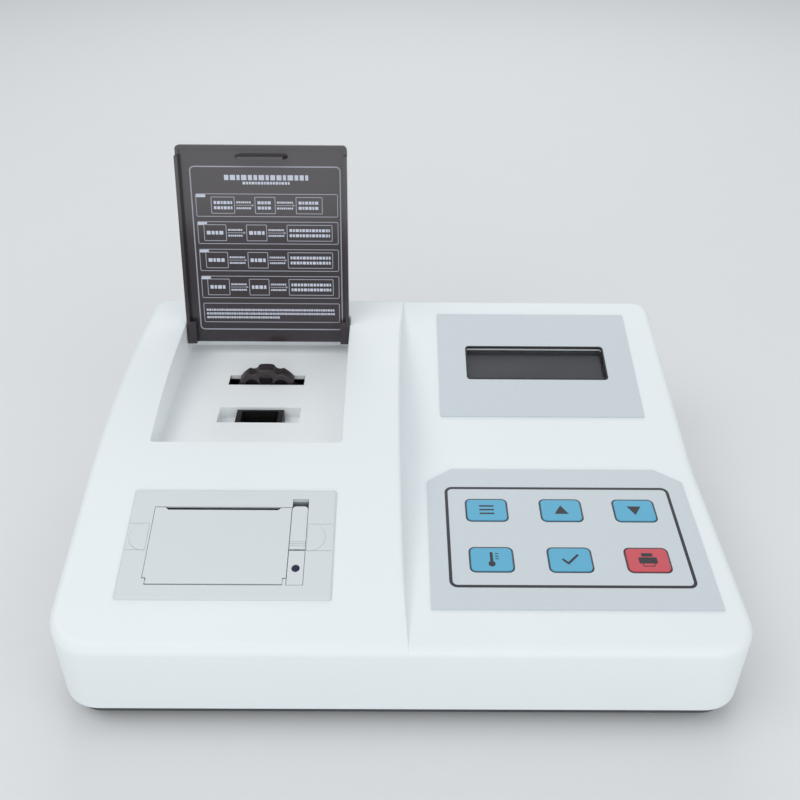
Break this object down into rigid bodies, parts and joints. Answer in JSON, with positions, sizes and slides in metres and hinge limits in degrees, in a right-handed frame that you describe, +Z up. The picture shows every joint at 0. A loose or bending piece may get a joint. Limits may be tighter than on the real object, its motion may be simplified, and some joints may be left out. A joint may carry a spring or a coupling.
{
  "type": "spectrophotometer",
  "caption": "Desktop colorimeter with a flip-up smoked lid over the cuvette well, a lobed filter wheel, a panel printer, a display and a keypad.",
  "frame": {"origin": "middle of the whole footprint at rest, lid open, at the level the rubber feet stand on", "axes": "+X to the user's right, +Y away from the user, +Z up"},
  "size_m": [0.3576, 0.28, 0.2182],
  "materials": {
    "shell_plastic": "fine satin moulded texture, light grey",
    "tray_plastic": "dark grey-blue satin",
    "rubber": "matt black",
    "zinc_steel": "zinc-plated screws",
    "smoked_plastic": "smoked transparent polycarbonate, printed inside",
    "spring_steel": "dark spring steel",
    "wheel_plastic": "black moulded plastic",
    "filter_glass": "interference filters, violet sheen",
    "black_plastic": "matt black",
    "optical_glass": "clear polished",
    "board_green": "solder-masked circuit board",
    "photo_can": "plated metal can",
    "label_plate": "pale grey printed film",
    "key_blue": "light blue satin key",
    "key_red": "red satin key",
    "lcd_glass": "dark greenish grey display glass",
    "printer_plastic": "light grey satin",
    "bezel_black": "black frame",
    "metal_grey": "plain machined metal",
    "gear_white": "white acetal gears",
    "paper": "thermal paper roll",
    "led_dark": "dark unlit light",
    "copper_domes": "metal key domes"
  },
  "bodies": {
    "case": {"upper_shell": "shell_plastic", "sample_well": "shell_plastic", "base_tray": "tray_plastic", "rubber_feet": "rubber", "case_screws": "zinc_steel", "lid_catch": "spring_steel", "wheel_shaft": "metal_grey", "optical_bench": "black_plastic", "cuvette_holder": "black_plastic", "lamp_housing": "metal_grey", "collimating_lens": "optical_glass", "lamp_bulb": "optical_glass", "detector_board": "board_green", "photodiode": "photo_can", "display_plate": "label_plate", "window_rim": "bezel_black", "display_pane": "optical_glass", "lcd_panel": "lcd_glass", "lcd_frame": "metal_grey", "lcd_board": "board_green", "keypad_plate": "label_plate", "keypad_board": "board_green", "key_domes": "copper_domes", "printer_bezel": "printer_plastic", "printer_frame": "printer_plastic", "printer_motor": "metal_grey", "print_head": "metal_grey", "lever_pin": "metal_grey", "button_board": "board_green", "status_led": "led_dark", "screw_cover_left": "printer_plastic", "screw_cover_right": "printer_plastic", "switch_frame": "bezel_black", "power_jack": "bezel_black", "serial_port": "metal_grey", "main_board": "board_green"},
    "lid": {"chamber_lid": "smoked_plastic"},
    "wheel": {"filter_wheel": "wheel_plastic", "wheel_filters": "filter_glass"},
    "door": {"printer_door": "printer_plastic"},
    "platen": {"platen_roller": "rubber", "platen_gear": "gear_white"},
    "drive": {"drive_gear": "gear_white", "drive_shaft": "metal_grey"},
    "paper": {"paper_roll": "paper"},
    "lever": {"printer_lever": "printer_plastic"},
    "feed": {"feed_button": "printer_plastic"},
    "rocker": {"power_rocker": "bezel_black"},
    "menu_key": {"key_menu": "key_blue"},
    "up_key": {"key_up": "key_blue"},
    "down_key": {"key_down": "key_blue"},
    "temperature_key": {"key_temperature": "key_blue"},
    "confirm_key": {"key_confirm": "key_blue"},
    "print_key": {"key_print": "key_red"}
  },
  "joints": [
    {"name": "lid_hinge", "type": "hinge", "parent": "case", "child": "lid", "pos_m": [-0.09055, 0.0985, 0.0995], "axis": [1, 0, 0], "range_deg": [0, 106.2]},
    {"name": "filter_wheel_spin", "type": "hinge", "parent": "case", "child": "wheel", "pos_m": [-0.0892, 0.0658, 0.0695], "axis": [0, 1, 0], "continuous": true},
    {"name": "printer_door_hinge", "type": "hinge", "parent": "case", "child": "door", "pos_m": [-0.0974, -0.10472, 0.0694], "axis": [1, 0, 0], "range_deg": [0, 75]},
    {"name": "platen_spin", "type": "hinge", "parent": "door", "child": "platen", "pos_m": [-0.0975, -0.0656, 0.0729], "axis": [1, 0, 0], "continuous": true},
    {"name": "drive_spin", "type": "hinge", "parent": "case", "child": "drive", "pos_m": [-0.1297, -0.06303, 0.06421], "axis": [1, 0, 0], "continuous": true},
    {"name": "paper_roll_spin", "type": "hinge", "parent": "case", "child": "paper", "pos_m": [-0.0975, -0.07823, 0.05039], "axis": [1, 0, 0], "continuous": true},
    {"name": "lever_hinge", "type": "hinge", "parent": "case", "child": "lever", "pos_m": [-0.0557, -0.08493, 0.07479], "axis": [1, 0, 0], "range_deg": [0, 30]},
    {"name": "feed_button_press", "type": "slide", "parent": "case", "child": "feed", "axis": [0, 0.2838, -0.9589], "range_m": [0, 0.0006], "stiffness_N_per_m": 400, "springref_m": -0.0003},
    {"name": "power_rocker_tilt", "type": "hinge", "parent": "case", "child": "rocker", "pos_m": [0.104, 0.1315, 0.042], "axis": [0, 0, 1], "range_deg": [-16, 0]},
    {"name": "menu_key_press", "type": "slide", "parent": "case", "child": "menu_key", "axis": [0, 0.0696, -0.9976], "range_m": [0, 0.0004], "stiffness_N_per_m": 500, "springref_m": -0.0002},
    {"name": "up_key_press", "type": "slide", "parent": "case", "child": "up_key", "axis": [0, 0.0696, -0.9976], "range_m": [0, 0.0004], "stiffness_N_per_m": 500, "springref_m": -0.0002},
    {"name": "down_key_press", "type": "slide", "parent": "case", "child": "down_key", "axis": [0, 0.0696, -0.9976], "range_m": [0, 0.0004], "stiffness_N_per_m": 500, "springref_m": -0.0002},
    {"name": "temperature_key_press", "type": "slide", "parent": "case", "child": "temperature_key", "axis": [0, 0.0696, -0.9976], "range_m": [0, 0.0004], "stiffness_N_per_m": 500, "springref_m": -0.0002},
    {"name": "confirm_key_press", "type": "slide", "parent": "case", "child": "confirm_key", "axis": [0, 0.0696, -0.9976], "range_m": [0, 0.0004], "stiffness_N_per_m": 500, "springref_m": -0.0002},
    {"name": "print_key_press", "type": "slide", "parent": "case", "child": "print_key", "axis": [0, 0.0696, -0.9976], "range_m": [0, 0.0004], "stiffness_N_per_m": 500, "springref_m": -0.0002}
  ],
  "couplings": [
    {"joint": "drive_spin", "follows": "platen_spin", "ratio": -0.8}
  ]
}
